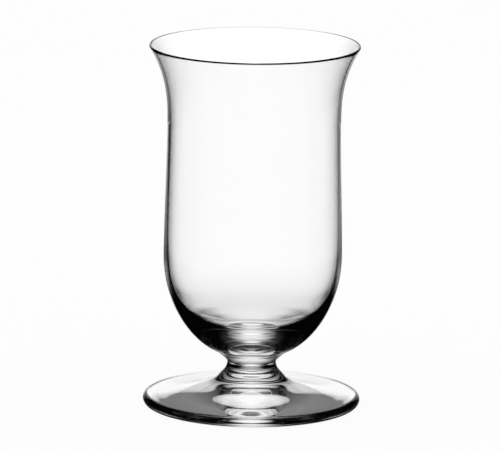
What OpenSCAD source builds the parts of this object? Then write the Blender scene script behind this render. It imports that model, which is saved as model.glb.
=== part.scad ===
// Whisky nosing glass: a blown bowl with a flared lip, on a short waisted stem and a round foot.
// Each piece is a closed solid of revolution about Z, and they meet face to face at two hot seams.
// Millimetres, +Z up, origin on the axis in the plane of the table.

/* [Whole glass] */
// Height from the table to the top of the lip
glass_h = 115; // [95:0.5:135]

/* [Bowl] */
// Outside diameter at the lip
lip_d = 66.2; // [62:0.1:76]
// Lean of the wall at the lip, in degrees from upright
lip_lean = 31; // [20:1:40]
// Height of the flare, from the waist up to the lip
flare_h = 24.5; // [20:0.5:30]
// Outside diameter at the waist, the narrowest ring of the wall
waist_d = 54.5; // [50:0.1:56]
// Outside diameter at the belly, the widest ring below the waist
belly_d = 56.2; // [52:0.1:62]
// Height of the belly above the seam with the stem
belly_rise = 29.8; // [26:0.2:36]
// Thickness of the wall at the lip
lip_wall = 0.8; // [0.6:0.05:1.4]
// Thickness of the wall at the waist
waist_wall = 1.05; // [0.8:0.05:1.8]
// Thickness of the wall at the belly
belly_wall = 1.4; // [0.9:0.05:2.4]
// How early the wall thins above the belly, where 1 is evenly over its whole height
wall_ease = 3; // [1:0.5:5]
// Thickness of the solid glass between the drink and the seam
base_t = 3.3; // [2:0.1:5]
// Diameter of the ring where the floor of the drink turns up into its side
well_d = 33.1; // [30:0.1:36]
// Height of that ring above the centre of the floor
well_h = 5; // [4:0.1:6.5]
// Rise of the inside at that ring, in degrees from level
well_rise = 29.7; // [26:0.1:34]
// Diameter of the seam where the bowl meets the stem
bowl_seam_d = 26.1; // [24:0.1:29]
// Rise of the outside at that seam, in degrees from level
bowl_seam_rise = 28.4; // [24:0.2:36]

/* [Stem] */
// Height of the stem between its two seams
stem_h = 9.25; // [8:0.05:14]
// Diameter at the neck, the narrowest ring of the glass
neck_d = 15.4; // [13:0.1:17.5]
// Distance from the neck up to the seam with the bowl
neck_drop = 4.45; // [4:0.05:5.5]

/* [Foot] */
// Diameter of the foot
foot_d = 68.5; // [60:0.1:80]
// Height of the foot at the seam with the stem
foot_h = 8.9; // [7:0.05:12]
// Diameter of the seam where the foot meets the stem
foot_seam_d = 21.2; // [19:0.1:25]
// Fall of the outside at that seam, in degrees from level
foot_seam_fall = 51.9; // [38:0.1:56]
// Thickness of the foot at its rounded edge
edge_t = 3.35; // [1.8:0.05:4]
// Fall of the top of the foot at its edge, in degrees from level
edge_fall = 1.5; // [0:0.1:8]
// Height of the rounded edge's lowest line above the table
edge_lift = 0.1; // [0:0.05:0.6]
// Outside diameter of the flat ring that the foot stands on
rest_ring_d = 54.6; // [44:0.1:56]
// Width of that ring
rest_ring_w = 1; // [0.5:0.1:2]
// Depth of the hollow under the foot at its centre
punt_h = 3.25; // [0.5:0.05:4]

/* [Hidden] */
$fn = 160;

// Segments in each curve of an outline
curve_steps = 20;
// Segments across the rounded lip and the rounded edge of the foot
round_steps = 10;

foot_seam_z = foot_h;
bowl_seam_z = foot_seam_z + stem_h;
neck_z = bowl_seam_z - neck_drop;
belly_z = bowl_seam_z + belly_rise;
waist_z = glass_h - flare_h;
floor_z = bowl_seam_z + base_t;

// Pull of each curve's two handles, as shares of the height or the run that the curve covers
flare_waist_share = 0.22;
flare_lip_share = 0.47;
wall_belly_share = 0.24;
wall_waist_share = 0.3;
belly_seam_share = 0.29;
belly_share = 0.48;
floor_centre_share = 0.32;
floor_well_share = 0.74;
side_well_share = 0.25;
side_belly_share = 0.6;
neck_below_share = 0.46;
neck_foot_share = 0.51;
neck_above_share = 0.17;
neck_bowl_share = 0.92;
foot_flare_share = 0.16;
foot_edge_share = 0.51;
under_share = 0.4;
punt_ring_share = 0.58;
punt_share = 0.39;

// A point at a distance and an angle from a place
function step_from(place, distance, angle) = place + distance * [cos(angle), sin(angle)];

// The direction from one point to another
function along(first, last) = (last - first) / norm(last - first);

// A point of the cubic curve through four handles, at t from 0 to 1
function on_curve(h, t) =
    pow(1 - t, 3) * h[0] + 3 * t * pow(1 - t, 2) * h[1] + 3 * t * t * (1 - t) * h[2] + pow(t, 3) * h[3];

// The direction of that curve at t
function along_curve(h, t) =
    let (d = (1 - t) * (1 - t) * (h[1] - h[0]) + 2 * t * (1 - t) * (h[2] - h[1]) + t * t * (h[3] - h[2])) d / norm(d);

// Points of a curve, without its last one
function curve(h, steps = curve_steps) = [for (i = [0:steps - 1]) on_curve(h, i / steps)];

// The same curve moved to its left by a thickness that runs from the first value to the second, the sooner
// the higher its ease is
function inset_curve(h, first_t, last_t, ease = 1, steps = curve_steps) = [
    for (i = [0:steps - 1])
        let (t = i / steps, d = along_curve(h, t))
            on_curve(h, t) + (last_t + (first_t - last_t) * pow(1 - t, ease)) * [-d[1], d[0]]
];

// A list of points in the opposite order
function reversed(points) = [for (i = [len(points) - 1:-1:0]) points[i]];

// Outside of the bowl, from the seam up to the lip
bowl_seam = [bowl_seam_d / 2, bowl_seam_z];
belly = [belly_d / 2, belly_z];
waist = [waist_d / 2, waist_z];
lip_outside = [lip_d / 2 - lip_wall / 2 * (1 - cos(lip_lean)), glass_h - lip_wall / 2 * (1 + sin(lip_lean))];

lower_handles = [
    bowl_seam,
    step_from(bowl_seam, belly_seam_share * belly_rise, bowl_seam_rise),
    belly - [0, belly_share * belly_rise],
    belly
];
wall_handles = [
    belly,
    belly + [0, wall_belly_share * (waist_z - belly_z)],
    waist - [0, wall_waist_share * (waist_z - belly_z)],
    waist
];
flare_handles = [
    waist,
    waist + [0, flare_waist_share * flare_h],
    step_from(lip_outside, -flare_lip_share * flare_h, 90 - lip_lean),
    lip_outside
];

// Inside of the bowl below the belly, from the centre of the floor up
floor_centre = [0, floor_z];
inner_belly = belly - [belly_wall, 0];
well = [well_d / 2, floor_z + well_h];
floor_handles = [
    floor_centre,
    floor_centre + [floor_centre_share * well[0], 0],
    step_from(well, -floor_well_share * well[0], well_rise),
    well
];
inner_wall = inset_curve(wall_handles, belly_wall, waist_wall, wall_ease);
side_handles = [
    well,
    step_from(well, side_well_share * (belly_z - well[1]), well_rise),
    inner_belly - side_belly_share * (belly_z - well[1]) * along(inner_wall[0], inner_wall[1]),
    inner_belly
];

module bowl() {
    lip_angle = 90 - lip_lean;
    lip_centre = step_from(lip_outside, lip_wall / 2, lip_angle + 90);
    lip_round = [
        for (i = [0:round_steps]) step_from(lip_centre, lip_wall / 2, lip_angle - 90 + 180 * i / round_steps)
    ];
    outside = concat(curve(lower_handles), curve(wall_handles), curve(flare_handles));
    inside = concat(
        curve(floor_handles),
        curve(side_handles),
        inner_wall,
        inset_curve(flare_handles, waist_wall, lip_wall)
    );
    color("whitesmoke")
        rotate_extrude()
            polygon(concat([[0, bowl_seam_z]], outside, lip_round, reversed(inside)));
}

// Outside of the stem, from the seam with the foot up to the seam with the bowl
neck = [neck_d / 2, neck_z];
foot_seam = [foot_seam_d / 2, foot_seam_z];
flare_out_handles = [
    foot_seam,
    step_from(foot_seam, -neck_foot_share * (neck_z - foot_seam_z), -foot_seam_fall),
    neck - [0, neck_below_share * (neck_z - foot_seam_z)],
    neck
];
flare_in_handles = [
    neck,
    neck + [0, neck_above_share * neck_drop],
    step_from(bowl_seam, -neck_bowl_share * neck_drop, bowl_seam_rise),
    bowl_seam
];

module stem() {
    color("gainsboro")
        rotate_extrude()
            polygon(concat(
                [[0, foot_seam_z]],
                curve(flare_out_handles),
                curve(flare_in_handles),
                [bowl_seam, [0, bowl_seam_z]]
            ));
}

module foot() {
    edge_r = edge_t / 2;
    edge_centre = [foot_d / 2 - edge_r, edge_lift + edge_r];
    edge_top_angle = 90 - edge_fall;
    edge_top = step_from(edge_centre, edge_r, edge_top_angle);
    top_run = edge_top[0] - foot_seam[0];
    top_handles = [
        foot_seam,
        step_from(foot_seam, foot_flare_share * top_run, -foot_seam_fall),
        step_from(edge_top, -foot_edge_share * top_run, -edge_fall),
        edge_top
    ];
    edge_round = [
        for (i = [0:round_steps - 1])
            step_from(edge_centre, edge_r, edge_top_angle - (edge_top_angle + 90) * i / round_steps)
    ];
    ring_outer = [rest_ring_d / 2, 0];
    ring_inner = ring_outer - [rest_ring_w, 0];
    under_run = edge_centre[0] - ring_outer[0];
    under_handles = [
        [edge_centre[0], edge_lift],
        [edge_centre[0] - under_share * under_run, edge_lift],
        ring_outer + [under_share * under_run, 0],
        ring_outer
    ];
    punt_handles = [
        ring_inner,
        ring_inner - [punt_ring_share * ring_inner[0], 0],
        [punt_share * ring_inner[0], punt_h],
        [0, punt_h]
    ];
    color("silver")
        rotate_extrude()
            polygon(concat(
                [[0, foot_seam_z]],
                curve(top_handles),
                edge_round,
                curve(under_handles),
                [ring_outer],
                curve(punt_handles),
                [[0, punt_h]]
            ));
}

bowl();
stem();
foot();
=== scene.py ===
"""A whisky nosing glass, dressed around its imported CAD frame.

The glass is three pieces of clear crystal that were joined hot: a blown bowl with a flared lip, a short
waisted stem and a pressed foot. Each is lathed here more finely than the frame, so that it refracts as
cleanly as fire-polished glass does, and it stands for the frame's node of the same name.

It is photographed in bright field: a tall white strip of light behind it, dark flags at both sides and a
pale table. The glass sees that studio by transmission and reflection, and the camera sees plain white.
"""

import logging
import math
from dataclasses import dataclass, field
from enum import Enum
from functools import reduce
from typing import NamedTuple

import bmesh
import bpy
from mathutils import Matrix, Vector


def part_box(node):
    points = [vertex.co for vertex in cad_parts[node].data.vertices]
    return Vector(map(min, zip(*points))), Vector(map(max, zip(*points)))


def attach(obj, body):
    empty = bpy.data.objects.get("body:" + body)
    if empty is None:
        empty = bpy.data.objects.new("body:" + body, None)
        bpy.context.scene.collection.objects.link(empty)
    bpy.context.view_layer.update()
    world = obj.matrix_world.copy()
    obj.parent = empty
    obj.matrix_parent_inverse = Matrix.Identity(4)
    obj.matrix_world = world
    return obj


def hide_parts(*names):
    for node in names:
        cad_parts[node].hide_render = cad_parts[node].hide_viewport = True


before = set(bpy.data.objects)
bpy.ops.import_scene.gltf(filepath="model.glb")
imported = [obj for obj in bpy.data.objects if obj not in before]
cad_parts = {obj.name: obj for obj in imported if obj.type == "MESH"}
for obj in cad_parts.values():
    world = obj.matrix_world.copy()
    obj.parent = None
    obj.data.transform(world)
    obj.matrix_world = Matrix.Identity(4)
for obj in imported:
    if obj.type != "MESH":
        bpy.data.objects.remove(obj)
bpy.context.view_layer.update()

LOG = logging.getLogger("nosing_glass")

MM = 0.001
LIGHT_BOUNCES = 32

Point = tuple[float, float]
Term = float | bpy.types.NodeSocket


# Outlines


def step_from(place: Point, distance: float, degrees: float) -> Point:
    """The point at a distance and an angle from a place."""
    angle = math.radians(degrees)
    return place[0] + distance * math.cos(angle), place[1] + distance * math.sin(angle)


def on_curve(handles: list[Point], t: float) -> Point:
    """A point of the cubic curve through four handles.

    Args:
        handles: The curve's two ends, with the two handles that pull it between them.
        t: How far along the curve the point is, from 0 to 1.

    Returns:
        The point, as radius and height in mm.
    """
    shares = ((1 - t) ** 3, 3 * t * (1 - t) ** 2, 3 * t * t * (1 - t), t**3)
    radius = sum(share * handle[0] for share, handle in zip(shares, handles))
    height = sum(share * handle[1] for share, handle in zip(shares, handles))
    return radius, height


def along_curve(handles: list[Point], t: float) -> Point:
    """The direction of a cubic curve, as a unit vector.

    Args:
        handles: The curve's four handles.
        t: How far along the curve, from 0 to 1.

    Returns:
        The unit vector in which the curve runs there.
    """
    shares = ((1 - t) ** 2, 2 * t * (1 - t), t * t)
    run = [sum(s * (b[k] - a[k]) for s, a, b in zip(shares, handles, handles[1:])) for k in (0, 1)]
    length = math.hypot(*run)
    return run[0] / length, run[1] / length


def curve(handles: list[Point], steps: int) -> list[Point]:
    """Points of a cubic curve, without its last one.

    Args:
        handles: The curve's four handles.
        steps: How many points to make.

    Returns:
        The points, from the curve's first end on.
    """
    return [on_curve(handles, i / steps) for i in range(steps)]


def inset_curve(
    handles: list[Point], first: float, last: float, steps: int, ease: float = 1.0
) -> list[Point]:
    """The same curve, moved to its left by a thickness that changes along it.

    Args:
        handles: The curve's four handles.
        first: Thickness at the start, in mm.
        last: Thickness at the end, in mm.
        steps: How many points to make.
        ease: How early the thickness changes, where 1 is evenly.

    Returns:
        The moved points, without the last one.
    """
    points = []
    for i in range(steps):
        t = i / steps
        (radius, height), (run, rise) = on_curve(handles, t), along_curve(handles, t)
        thickness = last + (first - last) * (1 - t) ** ease
        points.append((radius - thickness * rise, height + thickness * run))
    return points


def half_round(centre: Point, radius: float, first: float, turn: float, steps: int) -> list[Point]:
    """Points of an arc, both ends included.

    Args:
        centre: The arc's centre, in mm.
        radius: Its radius, in mm.
        first: The angle that it starts at, in degrees.
        turn: The angle that it turns through, in degrees.
        steps: How many segments it has.

    Returns:
        The points, in order.
    """
    return [step_from(centre, radius, first + turn * i / steps) for i in range(steps + 1)]


# Nodes and colours


def linear(hex_colour: str) -> tuple[float, float, float, float]:
    """An sRGB hex colour as the linear colour that Blender's sockets take.

    Args:
        hex_colour: Six hex digits, with or without a leading #.

    Returns:
        Red, green, blue and an alpha of 1.
    """
    digits = hex_colour.lstrip("#")
    values = (int(digits[i : i + 2], 16) / 255 for i in (0, 2, 4))
    return (*(v / 12.92 if v <= 0.04045 else ((v + 0.055) / 1.055) ** 2.4 for v in values), 1.0)


def add_node(
    tree: bpy.types.NodeTree, kind: str, inputs: dict | None = None, **settings: object
) -> bpy.types.Node:
    """Adds a node with its settings, its values and its links.

    Args:
        tree: The node tree to add to.
        kind: The node's type name.
        inputs: Socket name or number to a value, or to the output socket to link there.
        settings: The node's own settings by name.

    Returns:
        The new node.
    """
    node = tree.nodes.new(kind)
    for name, value in settings.items():
        setattr(node, name, value)
    for socket, value in (inputs or {}).items():
        if isinstance(value, bpy.types.NodeSocket):
            tree.links.new(value, node.inputs[socket])
        else:
            node.inputs[socket].default_value = value
    return node


# Finishes


class Face(Enum):
    """Which finish a face of a glass piece takes: the number is its material slot."""

    CRYSTAL = 0
    SEAM = 1


@dataclass(frozen=True)
class Crystal:
    """Lead-free crystal, machine-blown or pressed, then fire-polished.

    Polishing in the flame leaves a skin with no grain at all, so it is fully smooth. What the eye gets is
    refraction, edges as dark as the flags beside the glass, and a very slow waviness from the blowing.
    """

    name: str = "fire_polished_crystal"
    ior: float = 1.529
    tint_hex: str = "ffffff"
    wave_mm: float = 26.0
    wave_depth_mm: float = 0.0015

    def material(self) -> bpy.types.Material:
        """Makes the glass.

        Returns:
            A smooth glass material with a slow, shallow waviness.
        """
        made = bpy.data.materials.new(self.name)
        made.use_nodes = True
        tree = made.node_tree
        tree.nodes.clear()
        place = add_node(tree, "ShaderNodeTexCoord")
        waves = add_node(
            tree,
            "ShaderNodeTexNoise",
            {"Vector": place.outputs["Object"], "Scale": 1 / (self.wave_mm * MM), "Detail": 1.0},
        )
        relief = add_node(
            tree,
            "ShaderNodeBump",
            {"Height": waves.outputs["Fac"], "Strength": 1.0, "Distance": self.wave_depth_mm * MM},
        )
        glass = add_node(
            tree,
            "ShaderNodeBsdfGlass",
            {
                "Color": linear(self.tint_hex),
                "Roughness": 0.0,
                "IOR": self.ior,
                "Normal": relief.outputs["Normal"],
            },
        )
        add_node(tree, "ShaderNodeOutputMaterial", {"Surface": glass.outputs[0]})
        return made


@dataclass(frozen=True)
class HotSeam:
    """The face where two pieces were fused.

    The glass is one body there, so light passes the seam as if nothing were there.
    """

    name: str = "fused_seam"

    def material(self) -> bpy.types.Material:
        """Makes the seam.

        Returns:
            A material that shows nothing of itself.
        """
        made = bpy.data.materials.new(self.name)
        made.use_nodes = True
        tree = made.node_tree
        tree.nodes.clear()
        clear = add_node(tree, "ShaderNodeBsdfTransparent", {"Color": linear("ffffff")})
        add_node(tree, "ShaderNodeOutputMaterial", {"Surface": clear.outputs[0]})
        return made


# The three pieces of glass


@dataclass
class Lathe:
    """Turns an outline about the glass's axis into a closed mesh.

    A point nearer to the axis than on_axis_mm counts as a point on it.
    """

    segments: int = 256
    on_axis_mm: float = 1e-9

    def turn(self, name: str, outline: list[Point], seams: set[int]) -> bpy.types.Object:
        """Makes a closed solid of revolution.

        Args:
            name: The piece's name.
            outline: Radius and height of each point in mm, from one end on the axis round the outside to
                the other end on the axis.
            seams: Which stretches of the outline are hot seams, counted from 0. Their edges stay sharp.

        Returns:
            The new object, with its faces on the slots of Face.
        """
        mesh = bmesh.new()
        turns = [math.tau * i / self.segments for i in range(self.segments)]
        rings = []
        for radius, height in outline:
            r, z = radius * MM, height * MM
            if radius < self.on_axis_mm:
                rings.append([mesh.verts.new((0.0, 0.0, z))])
            else:
                rings.append([mesh.verts.new((r * math.cos(a), r * math.sin(a), z)) for a in turns])
        for i, (low, high) in enumerate(zip(rings, rings[1:])):
            slot = Face.SEAM if i in seams else Face.CRYSTAL
            for k in range(self.segments):
                n = (k + 1) % self.segments
                corners = [low[k % len(low)], low[n % len(low)], high[n % len(high)], high[k % len(high)]]
                face = mesh.faces.new(list(dict.fromkeys(corners)))
                face.material_index = slot.value
                face.smooth = True
        bmesh.ops.recalc_face_normals(mesh, faces=mesh.faces)
        for edge in mesh.edges:
            slots = {face.material_index for face in edge.link_faces}
            edge.smooth = len(slots) < 2
        data = bpy.data.meshes.new(name)
        mesh.to_mesh(data)
        mesh.free()
        piece = bpy.data.objects.new(name, data)
        bpy.context.scene.collection.objects.link(piece)
        return piece


@dataclass
class GlassPiece:
    """What bowl, stem and foot share: a name, a lathe, and how they join the frame."""

    name: str = ""
    node: str = ""
    slot: str = "crystal"
    lathe: Lathe = field(default_factory=Lathe)

    def outline(self) -> tuple[list[Point], set[int]]:
        """The piece's outline and which stretches of it are seams."""
        raise NotImplementedError

    def build(self) -> bpy.types.Object:
        """Lathes the piece and puts it in the place of its node.

        Returns:
            The piece, riding on the glass's one body.
        """
        outline, seams = self.outline()
        piece = self.lathe.turn(self.name, outline, seams)
        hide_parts(self.node)
        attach(piece, "root")
        return piece

    def dress(self, piece: bpy.types.Object, finishes: dict[Face, bpy.types.Material]) -> None:
        """Gives the piece its finishes.

        Args:
            piece: The lathed piece.
            finishes: The material of each kind of face.
        """
        for kind in Face:
            piece.data.materials.append(finishes[kind])


def node_span(node: str) -> tuple[float, float, float]:
    """Largest diameter, lowest height and highest height of a frame node, in mm."""
    low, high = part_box(node)
    return (high.x - low.x) / MM, low.z / MM, high.z / MM


@dataclass
class Bowl(GlassPiece):
    """The blown bowl: a flared lip over a tall wall that runs into a thick clear base. Sizes in mm."""

    name: str = "bowl_blown"
    node: str = "bowl"
    seam_d: float = 26.1
    seam_rise: float = 28.4
    lip_lean: float = 31.0
    flare_h: float = 24.5
    waist_d: float = 54.5
    belly_d: float = 56.2
    belly_rise: float = 29.8
    lip_wall: float = 0.8
    waist_wall: float = 1.05
    belly_wall: float = 1.4
    wall_ease: float = 3.0
    base_t: float = 3.3
    well_d: float = 33.1
    well_h: float = 5.0
    well_rise: float = 29.7
    flare_waist_share: float = 0.22
    flare_lip_share: float = 0.47
    wall_belly_share: float = 0.24
    wall_waist_share: float = 0.3
    belly_seam_share: float = 0.29
    belly_share: float = 0.48
    floor_centre_share: float = 0.32
    floor_well_share: float = 0.74
    side_well_share: float = 0.25
    side_belly_share: float = 0.6
    steps: int = 48
    lip_steps: int = 14

    def outline(self) -> tuple[list[Point], set[int]]:
        """The bowl's outline from the seam's centre, up the outside and down the inside to the floor.

        Returns:
            The outline's points in mm, and the stretches that are seams.
        """
        lip_d, seam_z, lip_z = node_span(self.node)
        belly_z, waist_z = seam_z + self.belly_rise, lip_z - self.flare_h
        lean = math.radians(self.lip_lean)
        lip_r = self.lip_wall / 2
        seam = (self.seam_d / 2, seam_z)
        belly, waist = (self.belly_d / 2, belly_z), (self.waist_d / 2, waist_z)
        lip = (lip_d / 2 - lip_r * (1 - math.cos(lean)), lip_z - lip_r * (1 + math.sin(lean)))
        lip_angle = 90 - self.lip_lean
        wall_h = waist_z - belly_z
        lower = [
            seam,
            step_from(seam, self.belly_seam_share * self.belly_rise, self.seam_rise),
            (belly[0], belly_z - self.belly_share * self.belly_rise),
            belly,
        ]
        wall = [
            belly,
            (belly[0], belly_z + self.wall_belly_share * wall_h),
            (waist[0], waist_z - self.wall_waist_share * wall_h),
            waist,
        ]
        flare = [
            waist,
            (waist[0], waist_z + self.flare_waist_share * self.flare_h),
            step_from(lip, -self.flare_lip_share * self.flare_h, lip_angle),
            lip,
        ]
        floor_z, inner_r = seam_z + self.base_t, belly[0] - self.belly_wall
        well = (self.well_d / 2, floor_z + self.well_h)
        floor = [
            (0.0, floor_z),
            (self.floor_centre_share * well[0], floor_z),
            step_from(well, -self.floor_well_share * well[0], self.well_rise),
            well,
        ]
        inner_wall = inset_curve(wall, self.belly_wall, self.waist_wall, self.steps, self.wall_ease)
        (first_r, first_z), (next_r, next_z) = inner_wall[:2]
        taper = math.degrees(math.atan2(next_z - first_z, next_r - first_r))
        side_h = belly_z - well[1]
        side = [
            well,
            step_from(well, self.side_well_share * side_h, self.well_rise),
            step_from((inner_r, belly_z), -self.side_belly_share * side_h, taper),
            (inner_r, belly_z),
        ]
        outside = curve(lower, self.steps) + curve(wall, self.steps) + curve(flare, self.steps)
        rounded = half_round(
            step_from(lip, lip_r, lip_angle + 90), lip_r, lip_angle - 90, 180, self.lip_steps
        )
        inside = (
            curve(floor, self.steps)
            + curve(side, self.steps)
            + inner_wall
            + inset_curve(flare, self.waist_wall, self.lip_wall, self.steps)
        )
        return [(0.0, seam_z)] + outside + rounded + inside[::-1], {0}


@dataclass
class Stem(GlassPiece):
    """The short stem, waisted between the foot and the bowl. Sizes in mm."""

    name: str = "stem_waisted"
    node: str = "stem"
    neck_d: float = 15.4
    neck_drop: float = 4.45
    foot_seam_d: float = 21.2
    foot_seam_fall: float = 51.9
    bowl_seam_rise: float = 28.4
    below_share: float = 0.46
    foot_share: float = 0.51
    above_share: float = 0.17
    bowl_share: float = 0.92
    steps: int = 28

    def outline(self) -> tuple[list[Point], set[int]]:
        """The stem's outline, from the centre of its seam with the foot to that of its seam with the bowl.

        Returns:
            The outline's points in mm, and the stretches that are seams.
        """
        bowl_seam_d, low_z, high_z = node_span(self.node)
        neck = (self.neck_d / 2, high_z - self.neck_drop)
        below = neck[1] - low_z
        low, high = (self.foot_seam_d / 2, low_z), (bowl_seam_d / 2, high_z)
        from_foot = [
            low,
            step_from(low, -self.foot_share * below, -self.foot_seam_fall),
            (neck[0], neck[1] - self.below_share * below),
            neck,
        ]
        to_bowl = [
            neck,
            (neck[0], neck[1] + self.above_share * self.neck_drop),
            step_from(high, -self.bowl_share * self.neck_drop, self.bowl_seam_rise),
            high,
        ]
        sides = curve(from_foot, self.steps) + curve(to_bowl, self.steps) + [high]
        outline = [(0.0, low_z)] + sides + [(0.0, high_z)]
        return outline, {0, len(outline) - 2}


@dataclass
class Foot(GlassPiece):
    """The pressed foot: a flared top, a rounded edge, and a hollow inside the ring that it stands on.

    Sizes in mm.
    """

    name: str = "foot_pressed"
    node: str = "foot"
    seam_d: float = 21.2
    seam_fall: float = 51.9
    edge_t: float = 3.35
    edge_fall: float = 1.5
    edge_lift: float = 0.1
    ring_d: float = 54.6
    ring_w: float = 1.0
    punt_h: float = 3.25
    flare_share: float = 0.16
    edge_share: float = 0.51
    under_share: float = 0.4
    punt_ring_share: float = 0.58
    punt_share: float = 0.39
    steps: int = 56
    edge_steps: int = 30

    def outline(self) -> tuple[list[Point], set[int]]:
        """The foot's outline, from the centre of its seam with the stem round the edge to its underside.

        Returns:
            The outline's points in mm, and the stretches that are seams.
        """
        foot_d, _, seam_z = node_span(self.node)
        seam, edge_r = (self.seam_d / 2, seam_z), self.edge_t / 2
        centre, top_angle = (foot_d / 2 - edge_r, self.edge_lift + edge_r), 90 - self.edge_fall
        edge_top = step_from(centre, edge_r, top_angle)
        run = edge_top[0] - seam[0]
        top = [
            seam,
            step_from(seam, self.flare_share * run, -self.seam_fall),
            step_from(edge_top, -self.edge_share * run, -self.edge_fall),
            edge_top,
        ]
        ring_outer = self.ring_d / 2
        ring_inner = ring_outer - self.ring_w
        under_run = centre[0] - ring_outer
        under = [
            (centre[0], self.edge_lift),
            (centre[0] - self.under_share * under_run, self.edge_lift),
            (ring_outer + self.under_share * under_run, 0.0),
            (ring_outer, 0.0),
        ]
        punt = [
            (ring_inner, 0.0),
            (ring_inner * (1 - self.punt_ring_share), 0.0),
            (ring_inner * self.punt_share, self.punt_h),
            (0.0, self.punt_h),
        ]
        edge = half_round(centre, edge_r, top_angle, -(top_angle + 90), self.edge_steps)
        underside = curve(under, self.steps) + [under[-1]] + curve(punt, self.steps)
        outline = curve(top, self.steps) + edge[:-1] + underside
        return [(0.0, seam_z)] + outline + [(0.0, self.punt_h)], {0}


# Camera and studio


@dataclass(frozen=True)
class PhotoCamera:
    """The photograph's long lens, as fitted to the lip, the foot and the outline of the glass."""

    distance_mm: float = 1847.0
    height_mm: float = 444.0
    down_deg: float = 11.82
    left_deg: float = 0.0306
    roll_deg: float = 0.652
    lens_px: float = 6008.0
    image_px: float = 500.0
    sensor_mm: float = 36.0
    clip_m: tuple[float, float] = (0.05, 30.0)

    def build(self) -> bpy.types.Object:
        """Sets the camera up as the scene's own.

        Returns:
            The camera object.
        """
        data = bpy.data.cameras.new("photo_camera")
        data.sensor_width = self.sensor_mm
        data.lens = self.sensor_mm * self.lens_px / self.image_px
        data.clip_start, data.clip_end = self.clip_m
        camera = bpy.data.objects.new("photo_camera", data)
        turn = Matrix.Rotation(math.radians(self.left_deg), 4, "Z")
        tilt = Matrix.Rotation(math.radians(90 - self.down_deg), 4, "X")
        roll = Matrix.Rotation(math.radians(self.roll_deg), 4, "Z")
        place = Matrix.Translation(Vector((0.0, -self.distance_mm * MM, self.height_mm * MM)))
        camera.matrix_world = place @ turn @ tilt @ roll
        bpy.context.scene.collection.objects.link(camera)
        bpy.context.scene.camera = camera
        return camera


class StripRow(NamedTuple):
    """The white strip at one height: its rise, half its width, its fade at the side, and its light."""

    rise: float
    half: float
    fade: float
    light: float


class Band(NamedTuple):
    """A band of angles in degrees, with a soft edge where it comes in and one where it goes out."""

    in_from: float
    in_to: float
    out_from: float
    out_to: float


class GlassRay:
    """A ray that sees the studio: where it goes, how it came, and the arithmetic of the world's nodes.

    Its turn, rise and aside are sockets in degrees: turned from straight behind the glass, up from level,
    and aside from straight behind to either hand.
    """

    def __init__(self, tree: bpy.types.NodeTree) -> None:
        """Adds the nodes that read the ray.

        Args:
            tree: The world's node tree.
        """
        self.tree = tree
        direction = add_node(tree, "ShaderNodeTexCoord").outputs["Generated"]
        axes = add_node(tree, "ShaderNodeSeparateXYZ", {0: direction}).outputs
        self.turn = self.work("DEGREES", self.work("ARCTAN2", axes["X"], axes["Y"]))
        self.rise = self.work("DEGREES", self.work("ARCSINE", axes["Z"]))
        self.aside = self.work("ABSOLUTE", self.turn)
        self.path = add_node(tree, "ShaderNodeLightPath").outputs

    def work(self, operation: str, *values: Term) -> bpy.types.NodeSocket:
        """The result of one operation on numbers or sockets."""
        return add_node(self.tree, "ShaderNodeMath", dict(enumerate(values)), operation=operation).outputs[0]

    def product(self, *values: Term) -> bpy.types.NodeSocket:
        """The product of numbers or sockets."""
        return reduce(lambda so_far, value: self.work("MULTIPLY", so_far, value), values)

    def brightest(self, *values: Term) -> bpy.types.NodeSocket:
        """The largest of numbers or sockets."""
        return reduce(lambda so_far, value: self.work("MAXIMUM", so_far, value), values)

    def without(self, share: Term) -> bpy.types.NodeSocket:
        """What is left of 1 without a share of it."""
        return self.work("SUBTRACT", 1.0, share)

    def fade(self, value: Term, low: Term, high: Term, at_low: Term, at_high: Term) -> bpy.types.NodeSocket:
        """A soft step from one value to another.

        Args:
            value: What the step goes by.
            low: Where the step starts.
            high: Where the step ends.
            at_low: The result up to the start.
            at_high: The result from the end on.

        Returns:
            The result's socket.
        """
        step = add_node(
            self.tree,
            "ShaderNodeMapRange",
            {"Value": value, "From Min": low, "From Max": high, "To Min": at_low, "To Max": at_high},
            interpolation_type="SMOOTHSTEP",
        )
        return step.outputs["Result"]

    def inside(self, value: Term, band: Band) -> bpy.types.NodeSocket:
        """1 inside a band of angles and 0 outside it, with soft edges."""
        comes_in = self.fade(value, band.in_from, band.in_to, 0.0, 1.0)
        return self.product(comes_in, self.fade(value, band.out_from, band.out_to, 1.0, 0.0))


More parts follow.
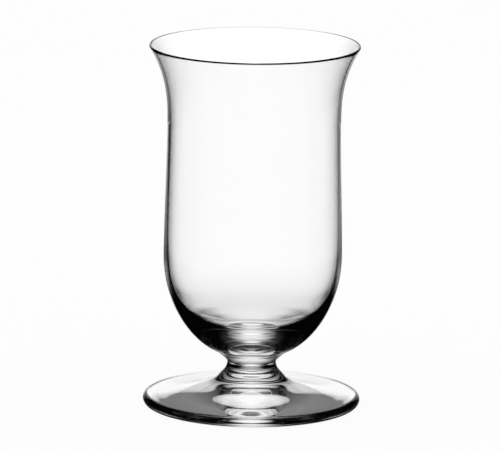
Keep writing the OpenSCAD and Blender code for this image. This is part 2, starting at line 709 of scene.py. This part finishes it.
@dataclass(frozen=True)
class BrightField:
    """The studio as the glass sees it: a white strip between dark flags, over a white table.

    The main strip is behind the glass as the photograph sees it, narrow at its foot and wide overhead. Dim
    cards stand beside it, overhead and below. Strips of the same kind stand at each eighth of a turn, so
    that the glass keeps its bright middle and dark edges from every side.

    What a ray sees depends a little on how it came through the glass, because one set of cards doesn't give
    both the black base and the light margins of the wall. Only rays that weren't reflected see the table and
    the strips all round. Only rays reflected no more than twice see the cards that light the margins, and
    reflected ones see the sides of the main strip dimmer. Rays that passed both walls see the table and the
    strips all round dimmer, low down behind the glass. A limit of bounces lies halfway between two counts.

    All angles are in degrees, and the camera itself sees plain white.
    """

    # The main strip, and how dark the flags are
    rows: tuple[StripRow, ...] = (
        StripRow(-44.0, 1.0, 17.4, 0.72),
        StripRow(-37.0, 1.0, 6.8, 0.00),
        StripRow(-30.0, 1.0, 4.8, 0.92),
        StripRow(-22.0, 1.0, 15.5, 0.98),
        StripRow(-14.0, 8.7, 20.7, 1.16),
        StripRow(-7.0, 7.4, 9.3, 1.16),
        StripRow(0.0, 1.7, 32.8, 1.04),
        StripRow(8.0, 1.0, 24.3, 0.98),
        StripRow(16.0, 8.2, 22.2, 0.72),
        StripRow(24.0, 2.7, 16.0, 1.15),
        StripRow(32.0, 9.0, 19.2, 0.89),
        StripRow(42.0, 10.5, 26.6, 0.63),
        StripRow(54.0, 20.7, 29.6, 0.44),
        StripRow(66.0, 21.8, 23.5, 1.16),
        StripRow(78.0, 17.0, 11.0, 1.16),
    )
    strip_rise: Band = Band(-46.0, -40.0, 80.0, 88.0)
    flag: float = 0.001

    # How the rows fit on a colour ramp: what 1 stands for there, and where level is
    ramp_full: StripRow = StripRow(180.0, 90.0, 90.0, 2.0)
    ramp_level: float = 0.5

    # The cards below and overhead
    under_light: float = 0.41
    under_edge: tuple[float, float] = (-73.7, -61.7)
    overhead_light: float = 0.23
    overhead_edge: tuple[float, float] = (67.0, 77.0)

    # The cards that light the margins of the wall: one to each side, and a nearer one to the right
    wing_light: float = 0.21
    wing_aside: Band = Band(48.0, 56.0, 72.8, 92.8)
    right_light: float = 0.16
    right_turn: Band = Band(14.0, 24.0, 46.0, 66.0)
    margin_rise: Band = Band(-17.5, -14.5, -9.5, -6.5)
    margin_bounces: float = 2.5

    # How much dimmer reflected rays see the sides of the main strip, at the height of those cards
    mirror_edge: tuple[float, float] = (3.0, 12.0)
    mirror_loss: float = 0.6

    # The strips all round, which are dimmer low down, and the table
    straight_bounces: float = 0.5
    side_every: float = 45.0
    side_half: float = 4.6
    side_fade: float = 11.0
    side_rise: Band = Band(-46.0, -40.0, 20.0, 60.0)
    side_light: tuple[float, float] = (0.8, 1.12)
    side_dim: tuple[float, float] = (-24.0, -12.0)
    table_light: float = 0.95
    table_edge: tuple[float, float] = (-46.0, -34.0)

    # How much dimmer these are for rays that passed both walls, low down behind the glass
    one_wall_bounces: float = 2.5
    far_aside: tuple[float, float] = (30.0, 50.0)
    far_rise: Band = Band(-56.0, -40.0, -33.0, -28.0)
    far_loss: float = 0.6

    # The light on the table, which doesn't see the studio
    fill: float = 0.8

    def build(self) -> bpy.types.World:
        """Makes the world's shader from the light of each part of the studio.

        Returns:
            The scene's world.
        """
        world = bpy.data.worlds.new("bright_field")
        world.use_nodes = True
        bpy.context.scene.world = world
        tree = world.node_tree
        tree.nodes.clear()
        ray = GlassRay(tree)
        path = ray.path
        straight = ray.work("LESS_THAN", path["Glossy Depth"], self.straight_bounces)
        margin = ray.inside(ray.rise, self.margin_rise)
        seen = ray.brightest(
            self.strip(ray, straight, margin),
            *self.cards(ray, margin),
            *self.all_round(ray, straight),
            self.flag,
        )
        studio, soft, white = (
            add_node(tree, "ShaderNodeBackground", {"Color": linear("ffffff"), "Strength": light}).outputs[0]
            for light in (seen, self.fill, 1.0)
        )
        from_glass = ray.work("MAXIMUM", path["Is Glossy Ray"], path["Is Transmission Ray"])
        light = add_node(tree, "ShaderNodeMixShader", {0: from_glass, 1: soft, 2: studio}).outputs[0]
        both = add_node(tree, "ShaderNodeMixShader", {0: path["Is Camera Ray"], 1: light, 2: white})
        add_node(tree, "ShaderNodeOutputWorld", {"Surface": both.outputs[0]})
        return world

    def strip(self, ray: GlassRay, straight: Term, margin: Term) -> bpy.types.NodeSocket:
        """Makes the main strip.

        Args:
            ray: The ray that sees it.
            straight: 1 where the ray wasn't reflected.
            margin: 1 at the height of the cards that light the wall's margins.

        Returns:
            The strip's light.
        """
        half, edge, light = self.row_values(ray)
        side = ray.fade(ray.aside, *self.mirror_edge, 0.0, self.mirror_loss)
        lost = ray.product(ray.without(straight), margin, side)
        return ray.product(
            ray.fade(ray.aside, half, ray.work("ADD", half, edge), light, 0.0),
            ray.inside(ray.rise, self.strip_rise),
            ray.without(lost),
        )

    def row_values(self, ray: GlassRay) -> list[bpy.types.NodeSocket]:
        """Reads the strip's rows at the ray's height, straight between one row and the next.

        Args:
            ray: The ray that sees the strip.

        Returns:
            Half the strip's width and its fade, in degrees, and its light.
        """
        full = self.ramp_full
        share = ray.work("MULTIPLY_ADD", ray.rise, 1 / full.rise, self.ramp_level)
        ramp = add_node(ray.tree, "ShaderNodeValToRGB", {0: share})
        stops = ramp.color_ramp.elements
        for i, row in enumerate(self.rows):
            place = row.rise / full.rise + self.ramp_level
            stop = stops[i] if i < len(stops) else stops.new(place)
            stop.position = place
            stop.color = (row.half / full.half, row.fade / full.fade, row.light / full.light, 1.0)
        parts = add_node(ray.tree, "ShaderNodeSeparateColor", {0: ramp.outputs["Color"]})
        return [ray.work("MULTIPLY", part, scale) for part, scale in zip(parts.outputs, full[1:])]

    def cards(self, ray: GlassRay, margin: Term) -> list[bpy.types.NodeSocket]:
        """Makes the dim cards.

        Args:
            ray: The ray that sees them.
            margin: 1 at the height of the cards that light the wall's margins.

        Returns:
            The light of the card below, of the one overhead, and of those beside the strip.
        """
        beside = ray.work(
            "ADD",
            ray.product(self.wing_light, ray.inside(ray.aside, self.wing_aside)),
            ray.product(self.right_light, ray.inside(ray.turn, self.right_turn)),
        )
        few = ray.work("LESS_THAN", ray.path["Glossy Depth"], self.margin_bounces)
        return [
            ray.fade(ray.rise, *self.under_edge, self.under_light, 0.0),
            ray.fade(ray.rise, *self.overhead_edge, 0.0, self.overhead_light),
            ray.product(few, beside, margin),
        ]

    def all_round(self, ray: GlassRay, straight: Term) -> list[bpy.types.NodeSocket]:
        """Makes what the glass shows from every side.

        Args:
            ray: The ray that sees it.
            straight: 1 where the ray wasn't reflected.

        Returns:
            The light of the strips all round, and of the table.
        """
        one_wall = ray.work("LESS_THAN", ray.path["Transmission Depth"], self.one_wall_bounces)
        far = ray.product(
            ray.without(one_wall),
            ray.fade(ray.aside, *self.far_aside, 1.0, 0.0),
            ray.inside(ray.rise, self.far_rise),
        )
        kept = ray.product(straight, ray.without(ray.product(far, self.far_loss)))
        between = ray.work("PINGPONG", ray.aside, self.side_every / 2)
        strips = ray.product(
            kept,
            ray.fade(between, self.side_half, self.side_half + self.side_fade, 1.0, 0.0),
            ray.fade(ray.rise, *self.side_dim, *self.side_light),
            ray.inside(ray.rise, self.side_rise),
        )
        return [strips, ray.product(kept, ray.fade(ray.rise, *self.table_edge, self.table_light, 0.0))]


@dataclass(frozen=True)
class Table:
    """The white table: laminate with a matt coat, wide enough to fill the view.

    The camera sees it mostly as plain white. The rest, which lift leaves, is lit, so it keeps the glass's
    shadow.
    """

    half_m: float = 6.0
    colour_hex: str = "f4f4f4"
    lift: float = 0.93

    def build(self) -> bpy.types.Object:
        """Lays the table under the foot.

        Returns:
            The table.
        """
        data = bpy.data.meshes.new("table")
        corners = [(-1, -1), (1, -1), (1, 1), (-1, 1)]
        data.from_pydata([(x * self.half_m, y * self.half_m, 0.0) for x, y in corners], [], [(0, 1, 2, 3)])
        table = bpy.data.objects.new("table", data)
        bpy.context.scene.collection.objects.link(table)
        data.materials.append(self.material())
        table.visible_transmission = False
        table.visible_glossy = False
        return table

    def material(self) -> bpy.types.Material:
        """Makes a matt white that the camera sees as white, with only the glass's soft shadow on it.

        Returns:
            The table's material.
        """
        made = bpy.data.materials.new("matt_white_laminate")
        made.use_nodes = True
        tree = made.node_tree
        tree.nodes.clear()
        path = add_node(tree, "ShaderNodeLightPath").outputs
        matt = add_node(tree, "ShaderNodeBsdfDiffuse", {"Color": linear(self.colour_hex)})
        glow = add_node(tree, "ShaderNodeEmission", {"Color": linear("ffffff"), "Strength": 1.0})
        lifted = add_node(
            tree, "ShaderNodeMixShader", {0: self.lift, 1: matt.outputs[0], 2: glow.outputs[0]}
        )
        seen = add_node(
            tree, "ShaderNodeMixShader", {0: path["Is Camera Ray"], 1: matt.outputs[0], 2: lifted.outputs[0]}
        )
        add_node(tree, "ShaderNodeOutputMaterial", {"Surface": seen.outputs[0]})
        return made


@dataclass(frozen=True)
class OverheadLamp:
    """One large soft lamp above the table. It lights the table only: the glass sees the bright field."""

    side_m: float = 1.4
    height_m: float = 1.5
    power_w: float = 3.0

    def build(self) -> bpy.types.Object:
        """Hangs the lamp.

        Returns:
            The lamp object.
        """
        data = bpy.data.lights.new("overhead_lamp", "AREA")
        data.size = self.side_m
        data.energy = self.power_w
        lamp = bpy.data.objects.new("overhead_lamp", data)
        lamp.location = (0.0, 0.0, self.height_m)
        lamp.visible_camera = False
        lamp.visible_glossy = False
        lamp.visible_transmission = False
        bpy.context.scene.collection.objects.link(lamp)
        return lamp


# The whole scene


def main() -> None:
    """Builds the camera, the studio and the three pieces of glass, and reports each."""
    logging.basicConfig(level=logging.INFO, format="%(name)s: %(message)s")
    PhotoCamera().build()
    BrightField().build()
    Table().build()
    OverheadLamp().build()
    finishes = {Face.CRYSTAL: Crystal().material(), Face.SEAM: HotSeam().material()}
    for part in (Bowl(), Stem(), Foot()):
        piece = part.build()
        part.dress(piece, finishes)
        LOG.info("%s: %d faces for node %s", piece.name, len(piece.data.polygons), part.node)
    scene = bpy.context.scene
    scene.view_settings.view_transform = "Standard"
    scene.cycles.max_bounces = LIGHT_BOUNCES
    scene.cycles.transmission_bounces = LIGHT_BOUNCES
    scene.cycles.glossy_bounces = LIGHT_BOUNCES
    scene.cycles.transparent_max_bounces = LIGHT_BOUNCES


if __name__ == "__main__":
    main()
